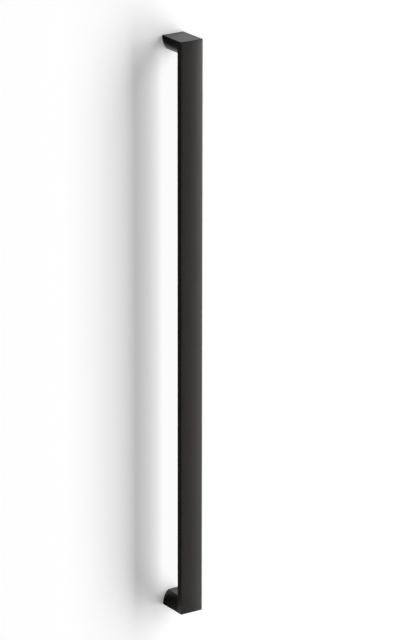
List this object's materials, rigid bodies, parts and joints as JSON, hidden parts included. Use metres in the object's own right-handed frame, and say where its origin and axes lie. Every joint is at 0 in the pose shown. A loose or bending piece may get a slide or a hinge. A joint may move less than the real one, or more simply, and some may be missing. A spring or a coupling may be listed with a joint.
{
  "type": "door pull handle",
  "caption": "Straight door pull with a flat rectangular bar on D-shaped end legs, matt black, fixed from behind through tapped feet.",
  "frame": {"origin": "on the door's face, midway between the two fixing holes", "axes": "+Z along the bar, +Y into the door along the fixing holes, X across the bar"},
  "size_m": [0.025, 0.034, 0.595],
  "materials": {
    "black_coat": "matt"
  },
  "bodies": {
    "root": {"pull_handle": "black_coat"}
  },
  "joints": []
}
